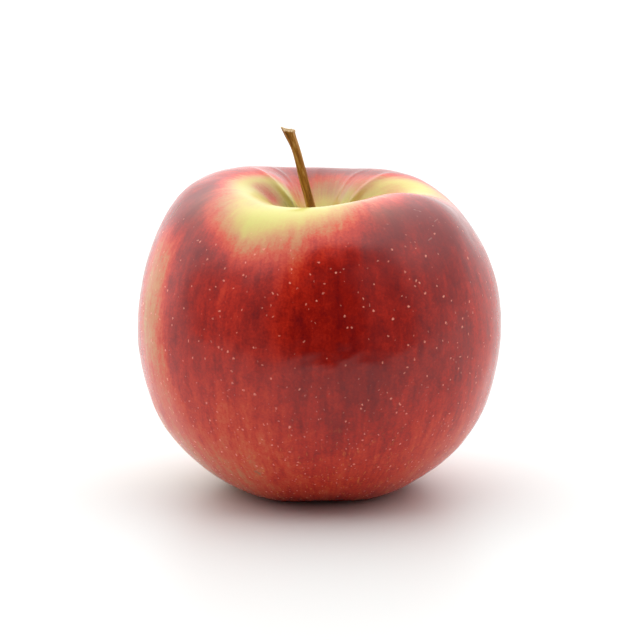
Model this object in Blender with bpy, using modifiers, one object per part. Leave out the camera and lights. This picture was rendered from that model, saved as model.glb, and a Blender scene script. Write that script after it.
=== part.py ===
"""A ripe red apple, 80 mm across, standing on the five lobes round its calyx basin.

It is built as the fruit grows. The flesh in its skin is one solid, turned about the core and then
moved by the uneven growth of shoulder, stem cavity and lobes. The woody stem stands in the stem
cavity. The dried calyx, five sepals on a short tube, sits in the basin underneath.

Frame: +Z up, the origin on the surface that the apple stands on, below the middle of its girth.
Azimuths run anticlockwise from +X, seen from above. Sizes are in millimetres until MM is applied.
"""

import math

import bmesh
import bpy
import numpy as np
from mathutils import Matrix, Vector

MM = 0.001
TURN = 2 * math.pi
GAP = 0.3  # clearance between a piece and the hole or surface that it meets

# Half section of the fruit (radius, height): stem cavity, shoulder, girth, lobes, calyx basin.
HALF_SECTION = [
    (0.0, 52.4), (1.8, 52.5), (3.6, 53.9), (6.0, 57.6), (9.0, 61.5), (13.0, 64.9),
    (17.5, 66.8), (22.0, 67.2), (27.0, 65.7), (31.6, 61.8), (35.6, 55.1), (38.4, 47.0),
    (39.8, 38.0), (39.5, 30.0), (37.8, 22.2), (34.6, 14.9), (29.3, 8.1), (22.9, 3.1),
    (16.5, 0.6), (12.0, 1.8), (8.5, 4.6), (5.2, 7.2), (2.5, 8.0), (0.0, 8.2),
]
CAVITY_FLOOR = HALF_SECTION[0][1]
BASIN_FLOOR = HALF_SECTION[-1][1]

# Growth, at every 30 degrees of azimuth: how far the shoulder stands above the turned form, and
# how far the cavity wall stands back from it (+) or folds in over the cavity (-).
SHOULDER_RISE = [-2.2, 0.4, 1.4, 1.3, 1.7, 2.3, 1.0, -1.0, -3.0, -2.7, -1.4, -1.0]
CAVITY_FOLDS = [2.0, -1.7, -1.2, 1.9, 0.1, -2.5, 0.0, 0.0, -0.5, 1.5, 0.0, -0.5]
SHOULDER_HEIGHTS = (38, 66)  # the rise comes in between these heights
SHOULDER_RADII = (3, 15)  # and, inside the cavity, between these radii
FOLD_RADIUS = 11.0
LOBES = 5
LOBE_AZIMUTH = math.radians(18)
LOBE_RADIUS = 16.5
LOBE_HEIGHTS = (6, 34)  # the lobes fade out between these heights
LOBE_DROP = 0.75  # below the turned form, so that a small flat is pressed on each lobe at height 0
VALLEY_DEPTH = 0.8  # from a lobe up to the valley beside it

# Stem (x, y, height) from its foot to the end that broke off the spur, and its radius there.
STEM_LINE = [
    ((0.0, 0.3, 49.4), 1.00),
    ((0.0, 0.3, 52.0), 0.95),
    ((-0.5, 0.1, 56.0), 0.92),
    ((-1.9, -0.2, 62.0), 0.95),
    ((-3.4, -0.6, 68.0), 0.95),
    ((-4.9, -1.0, 74.0), 0.91),
    ((-6.2, -1.3, 77.5), 1.12),
    ((-7.3, -1.5, 80.5), 1.42),
]
STEM_END = (-6.9, -1.4, 79.5)  # on the middle line, where the slanting break crosses it
STEM_BREAK_NORMAL = (0.20, -0.10, 0.97)
STEM_POINTS_PER_SPAN = 3

# Calyx
TUBE_RADIUS = 2.6
TUBE_BORE = 1.3
TUBE_TOP = BASIN_FLOOR + 2.2
TUBE_FOOT = BASIN_FLOOR - 0.9
STYLE_RADIUS = 0.5
STYLE_FOOT = BASIN_FLOOR - 2.4
SEPAL_SIZES = [1.0, 0.86, 1.06, 0.92, 1.0]  # of the length, round the calyx
SEPAL_LENGTH = 6.4
SEPAL_WIDTH = 3.4
SEPAL_THICKNESS = 0.66
SEPAL_ROOT = (1.9, BASIN_FLOOR - 0.3)  # radius, height
SEPAL_LEAN = (math.radians(-8), math.radians(95))  # outwards from straight down, root and tip
SEPAL_STEPS = 6

# Mesh
MERIDIANS = 84
PARALLELS_PER_SPAN = 2
STEM_SIDES = 14
TUBE_SIDES = 24

# Base colour and roughness
SKIN_RED = ((0.40, 0.022, 0.016), 0.28)
STEM_BROWN = ((0.20, 0.095, 0.03), 0.70)
CALYX_BROWN = ((0.14, 0.09, 0.045), 0.85)


def material(name, finish):
    colour, roughness = finish
    made = bpy.data.materials.new(name)
    made.use_nodes = True
    shader = made.node_tree.nodes["Principled BSDF"]
    shader.inputs["Base Color"].default_value = (*colour, 1)
    shader.inputs["Roughness"].default_value = roughness
    shader.inputs["Metallic"].default_value = 0
    return made


def new_object(name, data, home):
    made = bpy.data.objects.new(name, data)
    home.objects.link(made)
    return made


def new_cutter(name, data, home):
    made = new_object(name, data, home)
    made.hide_render = True
    made.display_type = "WIRE"
    return made


def baked(source):
    """Replace an object by a mesh of what it evaluates to, and return the new object."""
    depsgraph = bpy.context.evaluated_depsgraph_get()
    mesh = bpy.data.meshes.new_from_object(source.evaluated_get(depsgraph))
    name, home, place = source.name, source.users_collection[0], source.matrix_world.copy()
    bpy.data.objects.remove(source)
    mesh.name = name
    made = new_object(name, mesh, home)
    made.matrix_world = place
    return made


def boolean(target, operand, operation):
    modifier = target.modifiers.new(operation.title(), "BOOLEAN")
    modifier.operation = operation
    modifier.solver = "EXACT"
    if isinstance(operand, bpy.types.Collection):
        modifier.operand_type = "COLLECTION"
        modifier.collection = operand
    else:
        modifier.object = operand


def shade_round(mesh, crease=math.radians(50)):
    mesh.shade_smooth()
    mesh.set_sharp_from_angle(angle=crease)


# Smooth curves through evenly spaced stations


def knots_through(stations):
    """Control points of the closed uniform cubic B-spline that passes through the stations."""
    one = np.eye(len(stations))
    blend = (4 * one + np.roll(one, 1, axis=0) + np.roll(one, -1, axis=0)) / 6
    return np.linalg.solve(blend, np.array(stations, dtype=float))


def along(knots, place):
    """The closed spline with these control points, at places counted in stations."""
    first = np.floor(place).astype(int)
    u = place - first
    weights = ((1 - u) ** 3, 3 * u**3 - 6 * u**2 + 4, -3 * u**3 + 3 * u**2 + 3 * u + 1, u**3)
    picks = [knots[(first + step) % len(knots)] for step in (-1, 0, 1, 2)]
    return sum(weight * pick for weight, pick in zip(weights, picks)) / 6


def ease(value, start, end):
    """0 up to start, 1 from end on, and a smooth rise between them."""
    t = np.clip((value - start) / (end - start), 0, 1)
    return t * t * (3 - 2 * t)


def ring(radius, crest):
    """1 at the crest radius, 0 on the axis, and fading away outside."""
    share = (radius / crest) ** 2
    return share * np.exp(1 - share)


# The fruit


def turned_section(per_span):
    """Radius and height along the half section, from the cavity floor to the basin floor."""
    far_side = [(-radius, height) for radius, height in HALF_SECTION[-2:0:-1]]
    radii, heights = zip(*(HALF_SECTION + far_side))
    spans = len(HALF_SECTION) - 1
    places = np.linspace(0, spans, spans * per_span + 1)
    return along(knots_through(radii), places), along(knots_through(heights), places)


def grown(points):
    """Where growth moves points (rows of x, y, z) of the turned form."""
    x, y, height = np.transpose(points)
    radius = np.hypot(x, y)
    azimuth = np.arctan2(y, x)
    station = azimuth / TURN * len(SHOULDER_RISE)

    rise = along(knots_through(SHOULDER_RISE), station)
    rise = rise * ease(height, *SHOULDER_HEIGHTS) * ease(radius, *SHOULDER_RADII)

    upper_half = height > SHOULDER_HEIGHTS[0]
    fold = along(knots_through(CAVITY_FOLDS), station) * ring(radius, FOLD_RADIUS) * upper_half

    towards_valley = (1 - np.cos(LOBES * (azimuth - LOBE_AZIMUTH))) / 2
    lift = VALLEY_DEPTH * towards_valley - LOBE_DROP
    lift = lift * ring(radius, LOBE_RADIUS) * (1 - ease(height, *LOBE_HEIGHTS))

    radius = radius + fold
    moved = (radius * np.cos(azimuth), radius * np.sin(azimuth), height + rise + lift)
    return np.transpose(moved)


def make_fruit(home, cutters, finish):
    profile = bpy.data.meshes.new("fruit")
    radii, heights = turned_section(PARALLELS_PER_SPAN)
    outline = [(radius * MM, 0, height * MM) for radius, height in zip(radii, heights)]
    edges = [(index, index + 1) for index in range(len(outline) - 1)]
    profile.from_pydata(outline, edges, [])
    fruit = new_object("fruit", profile, home)

    screw = fruit.modifiers.new("Turn", "SCREW")
    screw.steps = screw.render_steps = MERIDIANS
    screw.use_merge_vertices = True
    screw.merge_threshold = 0.00001
    fruit = baked(fruit)

    vertices = fruit.data.vertices
    turned = np.empty(3 * len(vertices))
    vertices.foreach_get("co", turned)
    moved = grown(turned.reshape(-1, 3) / MM) * MM
    vertices.foreach_set("co", moved.ravel())

    boolean(fruit, stem_socket(cutters), "DIFFERENCE")
    boolean(fruit, calyx_pocket(cutters), "DIFFERENCE")
    boolean(fruit, ground_below(cutters), "DIFFERENCE")
    fruit = baked(fruit)
    fruit.data.materials.clear()
    fruit.data.materials.append(finish)
    shade_round(fruit.data)
    return fruit


def cylinder(radius, bottom, top, sides, centre=(0, 0)):
    """A closed upright cylinder as a bmesh, in metres, from sizes in millimetres."""
    bm = bmesh.new()
    place = Vector((*centre, (bottom + top) / 2)) * MM
    bmesh.ops.create_cone(
        bm,
        cap_ends=True,
        segments=sides,
        radius1=radius * MM,
        radius2=radius * MM,
        depth=(top - bottom) * MM,
        matrix=Matrix.Translation(place),
    )
    return bm


def mesh_of(bm, name):
    mesh = bpy.data.meshes.new(name)
    bm.to_mesh(mesh)
    bm.free()
    return mesh


def stem_socket(cutters):
    (x, y, foot), radius = STEM_LINE[0]
    hole = cylinder(radius + GAP, foot - GAP, CAVITY_FLOOR + 1, TUBE_SIDES, (x, y))
    return new_cutter("stem_socket", mesh_of(hole, "stem_socket"), cutters)


def calyx_pocket(cutters):
    hole = cylinder(TUBE_RADIUS + GAP, TUBE_FOOT - 1, TUBE_TOP + GAP, TUBE_SIDES)
    return new_cutter("calyx_pocket", mesh_of(hole, "calyx_pocket"), cutters)


def ground_below(cutters):
    """What lies under height 0, where the lobes are pressed flat."""
    slab = cylinder(2 * LOBE_RADIUS, -10, 0, TUBE_SIDES)
    return new_cutter("ground_below", mesh_of(slab, "ground_below"), cutters)


# The stem


def make_stem(home, cutters, finish):
    line, radii = zip(*STEM_LINE)
    spans = len(line) - 1
    # The spline is closed, so the way back from the end to the foot repeats the same stations.
    places = np.linspace(0, spans, spans * STEM_POINTS_PER_SPAN + 1)
    back_too = [*range(spans + 1), *range(spans - 1, 0, -1)]
    path = [along(knots_through([line[i][axis] for i in back_too]), places) for axis in range(3)]
    widths = along(knots_through([radii[i] for i in back_too]), places)

    curve = bpy.data.curves.new("stem", "CURVE")
    curve.dimensions = "3D"
    curve.bevel_depth = MM
    curve.bevel_resolution = (STEM_SIDES - 4) // 2
    curve.use_fill_caps = True
    spline = curve.splines.new("POLY")
    spline.points.add(len(places) - 1)
    for point, x, y, z, width in zip(spline.points, *path, widths):
        point.co = (x * MM, y * MM, z * MM, 1)
        point.radius = width
    stem = baked(new_object("stem", curve, home))
    weld(stem.data)

    boolean(stem, above_the_break(cutters), "DIFFERENCE")
    stem = baked(stem)
    stem.data.materials.clear()
    stem.data.materials.append(finish)
    shade_round(stem.data)
    return stem


def weld(mesh):
    bm = bmesh.new()
    bm.from_mesh(mesh)
    bmesh.ops.remove_doubles(bm, verts=bm.verts, dist=0.00001)
    bm.to_mesh(mesh)
    bm.free()


def above_the_break(cutters):
    """A block whose lower face is the slanting break at the stem's upper end."""
    side = 12.0
    bm = bmesh.new()
    bmesh.ops.create_cube(bm, size=side * MM)
    bmesh.ops.translate(bm, verts=bm.verts, vec=(0, 0, side / 2 * MM))
    block = new_cutter("above_the_break", mesh_of(bm, "above_the_break"), cutters)
    slant = Vector(STEM_BREAK_NORMAL).to_track_quat("Z", "Y").to_matrix().to_4x4()
    block.matrix_world = Matrix.Translation(Vector(STEM_END) * MM) @ slant
    return block


# The calyx


def sepal_cage(size):
    """One sepal pointing along +X: a strip that narrows to a tip and curls outwards."""
    bm = bmesh.new()
    radius, height = SEPAL_ROOT
    step = SEPAL_LENGTH * size / SEPAL_STEPS
    rows = []
    for index in range(SEPAL_STEPS + 1):
        share = index / SEPAL_STEPS
        half_width = SEPAL_WIDTH / 2 * (1 - share) ** 0.6 + 0.25
        cupped = 0.35 * half_width
        row = [
            (radius - cupped, -half_width, height),
            (radius, 0, height),
            (radius - cupped, half_width, height),
        ]
        rows.append([bm.verts.new(Vector(point) * MM) for point in row])
        lean = SEPAL_LEAN[0] + (SEPAL_LEAN[1] - SEPAL_LEAN[0]) * share
        radius += step * math.sin(lean)
        height -= step * math.cos(lean)
    for near, far in zip(rows, rows[1:]):
        for side in (0, 1):
            bm.faces.new((near[side], near[side + 1], far[side + 1], far[side]))
    return bm


def make_sepal(number, home):
    cage = mesh_of(sepal_cage(SEPAL_SIZES[number]), "sepal")
    sepal = new_object(f"sepal_{number}", cage, home)
    sepal.matrix_world = Matrix.Rotation(LOBE_AZIMUTH + TURN * number / LOBES, 4, "Z")
    shell = sepal.modifiers.new("Thickness", "SOLIDIFY")
    shell.thickness = SEPAL_THICKNESS * MM
    shell.offset = 0
    smooth = sepal.modifiers.new("Smooth", "SUBSURF")
    smooth.levels = smooth.render_levels = 1
    return baked(sepal)


def make_calyx(home, cutters, finish):
    calyx = new_object(
        "calyx", mesh_of(cylinder(TUBE_RADIUS, TUBE_FOOT, TUBE_TOP, TUBE_SIDES), "calyx"), home
    )
    bore = cylinder(TUBE_BORE, TUBE_FOOT - 1, TUBE_TOP - 1, TUBE_SIDES)
    boolean(calyx, new_cutter("calyx_bore", mesh_of(bore, "calyx_bore"), cutters), "DIFFERENCE")
    calyx = baked(calyx)

    repeats = bpy.data.collections.new("calyx_repeats")
    bpy.context.scene.collection.children.link(repeats)
    for number in range(LOBES):
        make_sepal(number, repeats)
    style = cylinder(STYLE_RADIUS, STYLE_FOOT, TUBE_TOP - 0.5, TUBE_SIDES // 2)
    new_object("style", mesh_of(style, "style"), repeats)
    boolean(calyx, repeats, "UNION")
    calyx = baked(calyx)
    for repeat in list(repeats.objects):
        bpy.data.objects.remove(repeat)
    bpy.data.collections.remove(repeats)
    calyx.data.materials.clear()
    calyx.data.materials.append(finish)
    shade_round(calyx.data)
    return calyx


def main():
    for found in list(bpy.data.objects):
        bpy.data.objects.remove(found)
    apple = bpy.data.collections.new("red apple")
    cutters = bpy.data.collections.new("cutters")
    for made in (apple, cutters):
        bpy.context.scene.collection.children.link(made)
    make_fruit(apple, cutters, material("skin", SKIN_RED))
    make_stem(apple, cutters, material("stem", STEM_BROWN))
    make_calyx(apple, cutters, material("calyx", CALYX_BROWN))


main()
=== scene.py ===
"""The looks of the red apple: waxy streaked skin, woody stem and dried calyx in a white light tent.

Sizes are in millimetres until MM is applied. Azimuths run anticlockwise from +X, seen from above,
so that 270 degrees faces the camera. "Arc" is the way along the skin from the floor of the stem
cavity, over the shoulder and the girth, to the floor of the calyx basin.
"""

import math

import bpy
import numpy as np
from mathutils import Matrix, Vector


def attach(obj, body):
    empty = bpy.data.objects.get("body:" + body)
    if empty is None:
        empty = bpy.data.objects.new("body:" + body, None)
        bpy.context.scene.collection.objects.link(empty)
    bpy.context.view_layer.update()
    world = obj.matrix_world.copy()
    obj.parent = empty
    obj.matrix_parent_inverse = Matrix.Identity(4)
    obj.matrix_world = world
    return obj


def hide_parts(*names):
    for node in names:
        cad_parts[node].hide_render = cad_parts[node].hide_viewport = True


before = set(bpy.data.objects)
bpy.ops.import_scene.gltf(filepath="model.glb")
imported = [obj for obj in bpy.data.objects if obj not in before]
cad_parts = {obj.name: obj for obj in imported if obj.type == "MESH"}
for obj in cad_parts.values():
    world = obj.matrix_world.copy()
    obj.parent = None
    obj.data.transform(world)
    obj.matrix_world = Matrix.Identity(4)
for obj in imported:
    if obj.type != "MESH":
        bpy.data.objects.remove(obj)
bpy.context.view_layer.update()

MM = 0.001
TURN = 2 * math.pi
ARC_UNIT = 100  # the streaks count the arc in this many millimetres
NOISE_BULK = (0.3, 0.7)  # where most values of a noise lie

# ---------------------------------------------------------------------------------------------
# The form, as in the CAD source
# ---------------------------------------------------------------------------------------------

HALF_SECTION = [
    (0.0, 52.4), (1.8, 52.5), (3.6, 53.9), (6.0, 57.6), (9.0, 61.5), (13.0, 64.9),
    (17.5, 66.8), (22.0, 67.2), (27.0, 65.7), (31.6, 61.8), (35.6, 55.1), (38.4, 47.0),
    (39.8, 38.0), (39.5, 30.0), (37.8, 22.2), (34.6, 14.9), (29.3, 8.1), (22.9, 3.1),
    (16.5, 0.6), (12.0, 1.8), (8.5, 4.6), (5.2, 7.2), (2.5, 8.0), (0.0, 8.2),
]
GIRTH_HEIGHT = HALF_SECTION[12][1]
BASIN_FLOOR = HALF_SECTION[-1][1]
# Growth, at every 30 degrees of azimuth: how far the shoulder stands above the turned form, and
# how far the cavity wall stands back from it (+) or folds in over the cavity (-).
SHOULDER_RISE = [-2.2, 0.4, 1.4, 1.3, 1.7, 2.3, 1.0, -1.0, -3.0, -2.7, -1.4, -1.0]
CAVITY_FOLDS = [2.0, -1.7, -1.2, 1.9, 0.1, -2.5, 0.0, 0.0, -0.5, 1.5, 0.0, -0.5]
SHOULDER_HEIGHTS = (38, 66)
SHOULDER_RADII = (3, 15)
FOLD_RADIUS = 11.0
LOBES = 5
LOBE_AZIMUTH = math.radians(18)
LOBE_RADIUS = 16.5
LOBE_HEIGHTS = (6, 34)
LOBE_DROP = 0.75
VALLEY_DEPTH = 0.8

STEM_LINE = [  # points of the middle line (x, y, height), and the radius at each
    ((0.0, 0.3, 49.4), 1.00),
    ((0.0, 0.3, 52.0), 0.95),
    ((-0.5, 0.1, 56.0), 0.92),
    ((-1.9, -0.2, 62.0), 0.95),
    ((-3.4, -0.6, 68.0), 0.95),
    ((-4.9, -1.0, 74.0), 0.91),
    ((-6.2, -1.3, 77.5), 1.12),
    ((-7.3, -1.5, 80.5), 1.42),
]
STEM_END = (-6.9, -1.4, 79.5)
STEM_BREAK_NORMAL = (0.20, -0.10, 0.97)

TUBE_RADIUS = 2.6
TUBE_FOOT = BASIN_FLOOR - 0.9
SEPAL_SIZES = [1.0, 0.86, 1.06, 0.92, 1.0]
SEPAL_LENGTH = 6.4
SEPAL_WIDTH = 3.4
SEPAL_ROOT = (1.9, BASIN_FLOOR - 0.3)
SEPAL_LEAN = (math.radians(-8), math.radians(95))


def knots_through(stations):
    """Control points of the closed uniform cubic B-spline that passes through the stations."""
    one = np.eye(len(stations))
    blend = (4 * one + np.roll(one, 1, axis=0) + np.roll(one, -1, axis=0)) / 6
    return np.linalg.solve(blend, np.array(stations, dtype=float))


def along(knots, place):
    """The closed spline with these control points, at places counted in stations."""
    first = np.floor(place).astype(int)
    u = place - first
    weights = ((1 - u) ** 3, 3 * u**3 - 6 * u**2 + 4, -3 * u**3 + 3 * u**2 + 3 * u + 1, u**3)
    picks = [knots[(first + step) % len(knots)] for step in (-1, 0, 1, 2)]
    return sum(weight * pick for weight, pick in zip(weights, picks)) / 6


def around(table, azimuth):
    """An evenly spaced table of azimuths, read smoothly at any azimuth in radians."""
    return along(knots_through(table), azimuth / TURN * len(table))


def ease(value, start, end):
    """0 up to start, 1 from end on, and a smooth rise between them."""
    t = np.clip((value - start) / (end - start), 0, 1)
    return t * t * (3 - 2 * t)


def ring(radius, crest):
    """1 at the crest radius, 0 on the axis, and fading away outside."""
    share = (radius / crest) ** 2
    return share * np.exp(1 - share)


def turned_section(places):
    """Radius and height of the half section, at places counted in stations."""
    far_side = [(-radius, height) for radius, height in HALF_SECTION[-2:0:-1]]
    radii, heights = zip(*(HALF_SECTION + far_side))
    return along(knots_through(radii), places), along(knots_through(heights), places)


def grown(radius, height, azimuth):
    """Where growth moves points of the turned form: their new radius and height."""
    rise = around(SHOULDER_RISE, azimuth)
    rise = rise * ease(height, *SHOULDER_HEIGHTS) * ease(radius, *SHOULDER_RADII)
    upper_half = height > SHOULDER_HEIGHTS[0]
    fold = around(CAVITY_FOLDS, azimuth) * ring(radius, FOLD_RADIUS) * upper_half
    towards_valley = (1 - np.cos(LOBES * (azimuth - LOBE_AZIMUTH))) / 2
    lift = VALLEY_DEPTH * towards_valley - LOBE_DROP
    lift = lift * ring(radius, LOBE_RADIUS) * (1 - ease(height, *LOBE_HEIGHTS))
    return radius + fold, height + rise + lift


# ---------------------------------------------------------------------------------------------
# Mesh and shader helpers
# ---------------------------------------------------------------------------------------------


def mesh_object(name, points, faces, smooth=True):
    mesh = bpy.data.meshes.new(name)
    mesh.from_pydata([tuple(point) for point in points], [], faces)
    if smooth:
        mesh.shade_smooth()
    made = bpy.data.objects.new(name, mesh)
    bpy.context.scene.collection.objects.link(made)
    return made


def tube_faces(rings, sides):
    """Quads between rings of points, with a fan to one more point at each end.

    The points are ordered ring by ring, then the start's and the end's middle points.
    """
    faces = []
    for ring_number in range(rings - 1):
        for side in range(sides):
            after = (side + 1) % sides
            low, high = ring_number * sides, (ring_number + 1) * sides
            faces.append((low + side, low + after, high + after, high + side))
    start, end = rings * sides, rings * sides + 1
    last = (rings - 1) * sides
    faces += [(start, (side + 1) % sides, side) for side in range(sides)]
    faces += [(end, last + side, last + (side + 1) % sides) for side in range(sides)]
    return faces


def set_attribute(made, name, values):
    """Stores a number, or a row of three, at every vertex."""
    values = np.asarray(values, dtype=np.float32)
    kind, field = ("FLOAT", "value") if values.ndim == 1 else ("FLOAT_VECTOR", "vector")
    attribute = made.data.attributes.new(name, kind, "POINT")
    attribute.data.foreach_set(field, values.ravel())


def new_material(name):
    made = bpy.data.materials.new(name)
    made.use_nodes = True
    return made, made.node_tree, made.node_tree.nodes["Principled BSDF"]


def add(tree, kind, sockets=(), out=0, **settings):
    """Adds a node, sets or wires its inputs by name or number, and returns one output."""
    made = tree.nodes.new("ShaderNode" + kind)
    for name, value in settings.items():
        setattr(made, name, value)
    for name, value in dict(sockets).items():
        if isinstance(value, bpy.types.NodeSocket):
            tree.links.new(value, made.inputs[name])
        else:
            made.inputs[name].default_value = value
    return made.outputs[out]


def calc(tree, operation, *values):
    return add(tree, "Math", enumerate(values), operation=operation)


def fade(tree, value, start, end, low=0.0, high=1.0):
    """Rises smoothly from low to high as the value goes from start to end."""
    sockets = {"Value": value, "From Min": start, "From Max": end, "To Min": low, "To Max": high}
    return add(tree, "MapRange", sockets, interpolation_type="SMOOTHSTEP")


def noise(tree, vector, scale, detail, roughness):
    sockets = {"Vector": vector, "Scale": scale, "Detail": detail, "Roughness": roughness}
    return add(tree, "TexNoise", sockets)


def stretched(tree, vector, factors):
    return add(tree, "VectorMath", {0: vector, 1: factors}, operation="MULTIPLY")


def mixed(tree, factor, first, second):
    """The first colour, going over into the second, which may be a tuple (red, green, blue)."""
    second = (*second, 1) if isinstance(second, tuple) else second
    return add(tree, "Mix", {0: factor, 6: first, 7: second}, out=2, data_type="RGBA")


def ramp(tree, factor, stops):
    """A colour ramp with stops (place, (red, green, blue))."""
    made = tree.nodes.new("ShaderNodeValToRGB")
    elements = made.color_ramp.elements
    while len(elements) < len(stops):
        elements.new(0.5)
    for element, (place, colour) in zip(elements, stops):
        element.position = place
        element.color = (*colour, 1)
    tree.links.new(factor, made.inputs["Fac"])
    return made.outputs["Color"]


def object_position(tree):
    return add(tree, "TexCoord", out=3)


# ---------------------------------------------------------------------------------------------
# The skin
# ---------------------------------------------------------------------------------------------

FRUIT_MERIDIANS = 300
PLACES_PER_SPAN = 10
SWELLS = [  # gentle unevenness of the flesh: (waves, shortest, longest wavelength, height)
    (26, 14, 28, 0.085),
    (36, 7, 13, 0.022),
    (40, 4, 6, 0.006),
]
SWELL_SEED = 11
SWELL_RADII = (4, 14)  # the swells come in from one to the other, clear of stem and calyx

# How the colour lies, at even steps of azimuth: the arc down to which the yellow ground spills out
# of the cavity, how softly it ends, and how deep the red is on the flank and near the base.
# Arcs in pairs are where a change starts and where it is complete.
GROUND_SPILL = [
    31, 33, 24, 17, 15, 15, 14, 12, 12, 14, 18, 22, 24, 26, 29, 34, 39, 38, 35, 30, 25, 22, 21, 24,
]
SPILL_SOFTNESS = [0.9, 0.8, 0.9, 0.9, 0.9, 0.6, 0.4, 0.9, 1.1, 1.5, 1.6, 1.2]
FLANK_RED = [0.85, 0.82, 0.79, 0.77, 0.75, 0.74, 0.78, 0.87, 0.81, 0.93, 0.91, 0.87]
BASE_RED = [0.69, 0.64, 0.58, 0.52, 0.48, 0.44, 0.38, 0.55, 0.64, 0.73, 0.72, 0.70]
CAVITY_RED = 0.70  # share of the flank's red that is left inside the cavity
CAVITY_ARCS = (14, 23)
SHOULDER_RED = 0.10  # how much redder the shoulder is than the flank
SHOULDER_ARCS = (36, 58)
SPILL_EDGE = (-6, 10)  # where the red comes in, from the end of the spill, at a softness of 1
BASE_ARCS = (66, 98)
BASIN_ARCS = (112, 124)
BASIN_RED = 0.30
STRIPE_AZIMUTH = math.radians(203)  # a pale stripe down the left flank
STRIPE_DRIFT = math.radians(10)  # how far it has turned to the front at its lower end
STRIPE_WIDTH = math.radians(9)
STRIPE_ARCS = (38, 50, 64, 88)  # it starts, is full, fades and ends
STRIPE_PALING = 0.38
# Soft spots where the skin is redder, or paler if the depth is negative: (azimuth in degrees and
# arc of the middle, half widths in both, depth).
BLOTCHES = [
    ((176, 17.4), (11, 3.4), 0.55),
    ((180, 15.2), (12, 1.6), 0.25),
    ((217, 29.5), (20, 5.0), 0.13),
    ((128, 17.5), (14, 4.0), 0.14),
    ((85, 24.0), (45, 4.0), 0.14),
    ((8, 22.5), (14, 3.0), 0.26),
    ((298, 33.5), (12, 4.0), 0.12),
    ((288, 43.0), (26, 7.0), -0.03),
    ((262, 49.0), (8, 6.0), -0.09),
    ((196, 28.5), (8, 2.5), 0.12),
    ((275, 84.0), (14, 8.0), 0.04),
    ((229, 60.0), (7, 17.0), 0.10),
    ((246, 57.0), (4, 11.0), 0.08),
    ((281, 38.0), (8, 4.0), 0.06),
    ((317, 56.0), (9, 12.0), 0.05),
    ((33, 18.8), (9, 3.2), 0.31),
    ((22, 15.8), (14, 1.8), 0.08),
    ((265, 40.5), (8, 3.0), 0.07),
    ((244, 46.0), (8, 3.5), 0.04),
    ((238, 37.5), (6, 3.0), -0.06),
    ((201, 60.0), (6, 11.0), -0.09),
    ((230, 27.0), (14, 3.0), 0.04),
]
STAINS_AND_SHADE = [  # greenish brown russet, and painted shade deep in the cavity, in the same form
    ((165, 16.2), (6, 2.0), 0.12),
    ((177, 17.0), (9, 2.6), 0.26),
    ((160, 13.4), (11, 1.5), 0.78),
    ((146, 12.1), (14, 1.2), 0.65),
    ((60, 10.0), (60, 1.6), 0.40),
]
RUSSET_AND_SHADE_ARCS = (7.0, 11.0)  # russet and painted shade all round the foot of the stem
RUSSET_AND_SHADE_SHARE = 0.55
# Painted shade inside the cavity and on its rim, mixed with a dusty bloom of wax, at even steps of
# azimuth, and spots of the same darkening on the shoulder, in the form of the blotches.
CAVITY_SHADE_AND_BLOOM = [0.12, 0.26, 0.40, 0.36, 0.24, 0.16, 0.24, 0.04, 0.0, 0.0, 0.06, 0.12]
SHADE_AND_BLOOM_ARCS = (12, 16, 18, 25)  # it starts, is full, fades and ends
SHADE_AND_BLOOM_SPOTS = [
    ((214, 34.0), (13, 4.5), 0.32),
    ((296, 33.0), (12, 4.0), 0.26),
    ((203, 30.0), (8, 3.0), 0.22),
    ((39, 22.5), (8, 2.5), 0.25),
]

RED_STOPS = [  # from the bare yellow ground to the deepest crimson
    (0.00, (0.635, 0.59, 0.140)),
    (0.12, (0.63, 0.49, 0.128)),
    (0.24, (0.63, 0.37, 0.115)),
    (0.36, (0.63, 0.27, 0.10)),
    (0.48, (0.63, 0.185, 0.07)),
    (0.60, (0.69, 0.092, 0.031)),
    (0.71, (0.65, 0.040, 0.012)),
    (0.82, (0.51, 0.017, 0.006)),
    (0.92, (0.32, 0.008, 0.0035)),
    (1.00, (0.21, 0.004, 0.004)),
]
# A noise is given as (cells in a metre, or in a unit of what it is stretched over, detail,
# roughness).
STREAK_NOISE = (1.0, 1.0, 0.5)
UNEVEN_NOISE = (1.0, 2.0, 0.6)
RUSSET_AND_SHADE_NOISE = (1.0, 3.0, 0.65)
WAX_NOISE = (260, 3.0, 0.6)
PORE_NOISE = (1500, 2.0, 0.5)
SCRATCH_NOISE = (900, 2.0, 0.6)
LENTICEL_GRAIN = 1400
# Patches and streaks that the red lies in: (how finely they change with the azimuth's cosine and
# sine and along a unit of arc, strength where the red is thin, strength everywhere).
STREAKS = [
    ((7, 7, 3.6), 0.34, 0.125),
    ((17, 17, 8), 0.55, 0.07),
    ((44, 44, 22), 0.62, 0.04),
]
MOTTLING = [  # (noise, strength where the red is thin, strength everywhere)
    ((420, 3.0, 0.6), 0.62, 0.11),
    ((1900, 2.0, 0.6), 0.70, 0.10),
]
THIN_RED = 1.12  # the red counts as thin from 0 to here, and most of all halfway
THIN_RED_GAIN = 3.4
FLECK_STRETCH = (56, 56, 66)  # orange flecks near the base
FLECK_EDGES = (0.60, 0.72)
FLECK_ARCS = (74, 104)
FLECK_SHARE = 0.42
# How unevenly the painted shade and bloom, and the russet and painted shade, lie: (noise stretch,
# noise values, what they multiply by).
UNEVEN_SHADE_AND_BLOOM = ((13, 13, 9), (0.25, 0.75), (0.75, 1.25))
UNEVEN_RUSSET_AND_SHADE = ((9, 9, 30), (0.3, 0.6), (0.45, 1.1))

# Dark brown of the painted shade in the cavity, dulled like a dusty bloom of wax.
SHADE_AND_BLOOM_COLOUR = (0.30, 0.16, 0.10)
# Olive brown of the russet and of the painted shade round the stem's foot.
RUSSET_AND_SHADE_COLOUR = (0.17, 0.115, 0.042)
LENTICEL_COLOUR = (0.92, 0.32, 0.23)
FLECK_COLOUR = (0.90, 0.36, 0.08)
SCUFF_COLOUR = (0.62, 0.36, 0.30)
SCAR_COLOUR = (0.25, 0.115, 0.045)

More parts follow.
